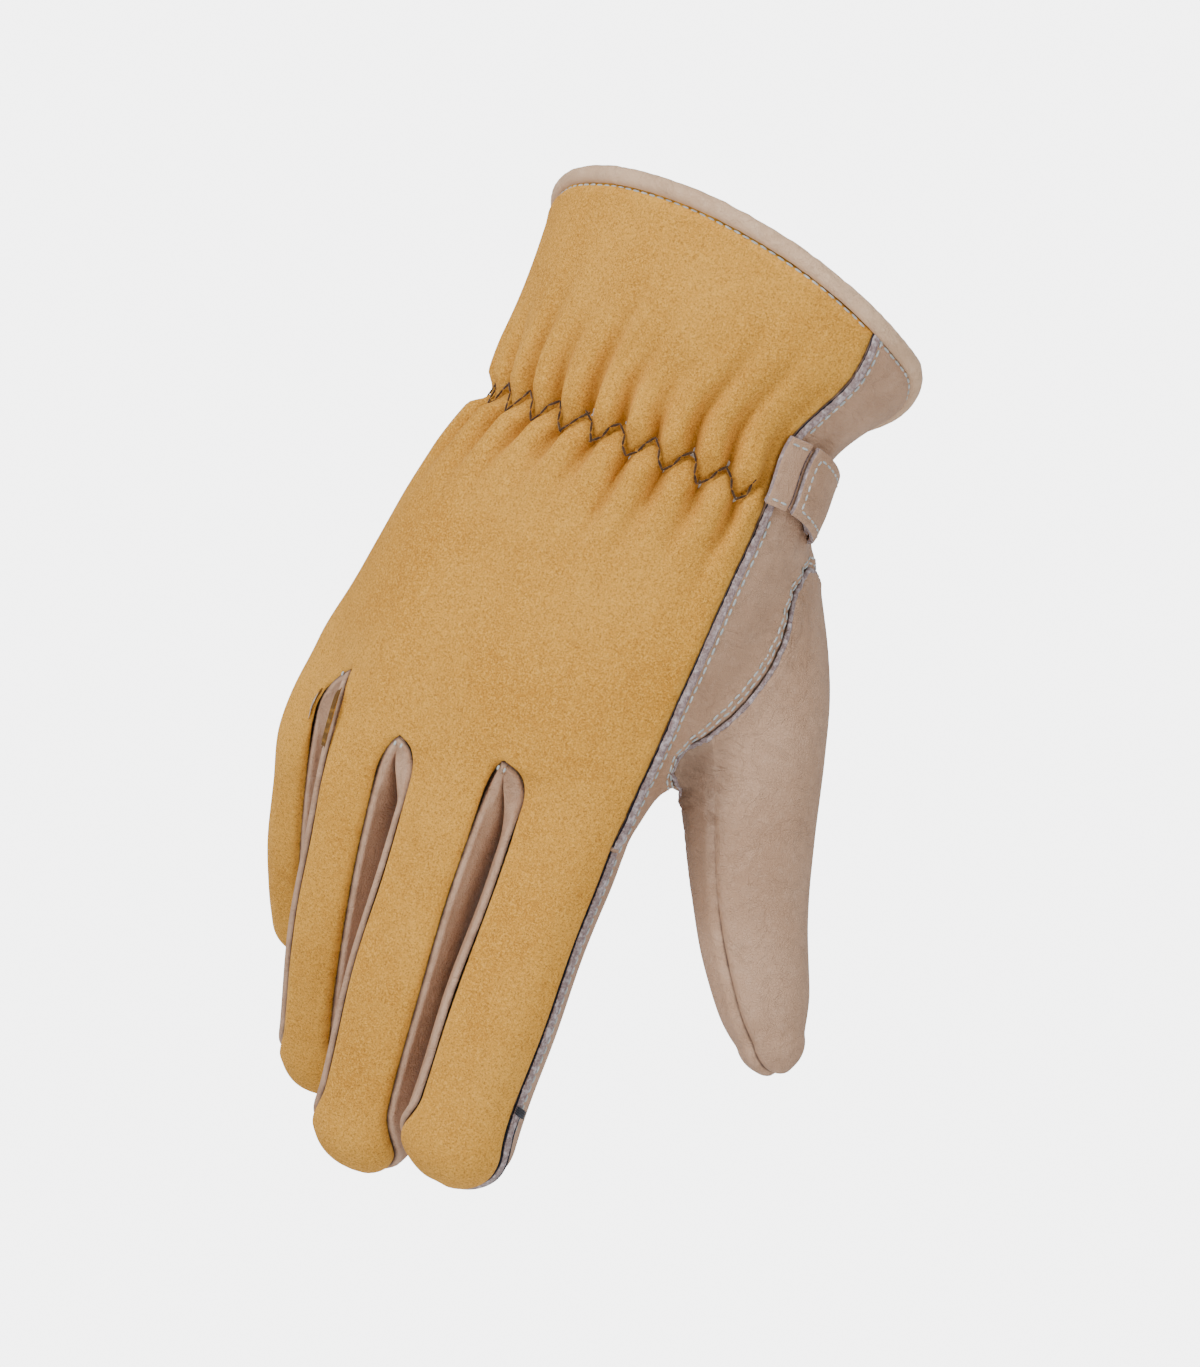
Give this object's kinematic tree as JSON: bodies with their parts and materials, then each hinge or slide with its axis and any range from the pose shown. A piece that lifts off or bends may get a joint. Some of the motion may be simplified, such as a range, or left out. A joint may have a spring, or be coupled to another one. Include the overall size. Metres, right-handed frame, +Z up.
{
  "type": "leather driving glove",
  "caption": "Right-hand leather driving glove with a suede back, smooth leather palm, folded finger sides, bound cuff, gathered wrist and a wrist strap, shaped as if worn.",
  "frame": {"origin": "centre of the cuff opening, where the wearer's wrist goes in", "axes": "+Z up the forearm, so the fingers hang towards -Z; -Y out of the back of the hand; +X towards the thumb side"},
  "size_m": [0.1526, 0.0912, 0.2487],
  "materials": {
    "suede": "napped, dull, mustard tan",
    "grain_leather": "smooth grain, soft sheen, warm beige",
    "elastic": "woven elastic tape",
    "fastener": "hook and loop tape",
    "pale_thread": "twisted sewing thread, pale grey green",
    "brown_thread": "twisted sewing thread, dark brown",
    "dark_thread": "twisted sewing thread, near black"
  },
  "bodies": {
    "hand": {"back_panel": "suede", "palm_panel": "grain_leather", "fourchette_crotch_index_middle": "grain_leather", "fourchette_crotch_middle_ring": "grain_leather", "fourchette_crotch_ring_little": "grain_leather", "cuff_binding": "grain_leather", "wrist_elastic": "elastic", "gather_thread": "brown_thread", "binding_thread_back": "pale_thread", "binding_thread_palm": "pale_thread", "side_seam_thread_cuff": "pale_thread", "side_seam_thread_hand": "pale_thread", "strap_keeper": "grain_leather", "strap_anchor": "grain_leather", "strap_anchor_backing": "grain_leather", "loop_patch": "fastener", "thumb_base_outer": "grain_leather", "thumb_base_inner": "grain_leather"},
    "strap_tab": {"strap": "grain_leather", "hook_patch": "fastener"},
    "thumb": {"thumb_outer": "grain_leather", "thumb_inner": "grain_leather"},
    "index_finger": {"back_index": "suede", "palm_index": "grain_leather", "fourchette_index_little_side": "grain_leather", "side_seam_thread_index": "pale_thread", "index_bar_tack": "dark_thread"},
    "middle_finger": {"back_middle": "suede", "palm_middle": "grain_leather", "fourchette_middle_thumb_side": "grain_leather", "fourchette_middle_little_side": "grain_leather"},
    "ring_finger": {"back_ring": "suede", "palm_ring": "grain_leather", "fourchette_ring_thumb_side": "grain_leather", "fourchette_ring_little_side": "grain_leather"},
    "little_finger": {"back_little": "suede", "palm_little": "grain_leather", "fourchette_little_thumb_side": "grain_leather"}
  },
  "joints": [
    {"name": "index_knuckle", "type": "hinge", "parent": "hand", "child": "index_finger", "pos_m": [0.0126, 0.0135, -0.1362], "axis": [1, 0, 0], "range_deg": [-8, 55]},
    {"name": "middle_knuckle", "type": "hinge", "parent": "hand", "child": "middle_finger", "pos_m": [-0.017, 0.0115, -0.1362], "axis": [1, 0, 0], "range_deg": [-8, 55]},
    {"name": "ring_knuckle", "type": "hinge", "parent": "hand", "child": "ring_finger", "pos_m": [-0.0432, 0.0135, -0.1362], "axis": [1, 0, 0], "range_deg": [-8, 50]},
    {"name": "little_knuckle", "type": "hinge", "parent": "hand", "child": "little_finger", "pos_m": [-0.066, 0.026, -0.1362], "axis": [1, 0, 0], "range_deg": [-8, 45]},
    {"name": "thumb_joint", "type": "hinge", "parent": "hand", "child": "thumb", "pos_m": [0.0325, 0.0195, -0.1222], "axis": [-0.0016, 1, 0.0046], "range_deg": [-8, 30]},
    {"name": "strap_peel", "type": "hinge", "parent": "hand", "child": "strap_tab", "pos_m": [0.0425, 0.0058, -0.0355], "axis": [0, 0, -1], "range_deg": [0, 100]}
  ]
}
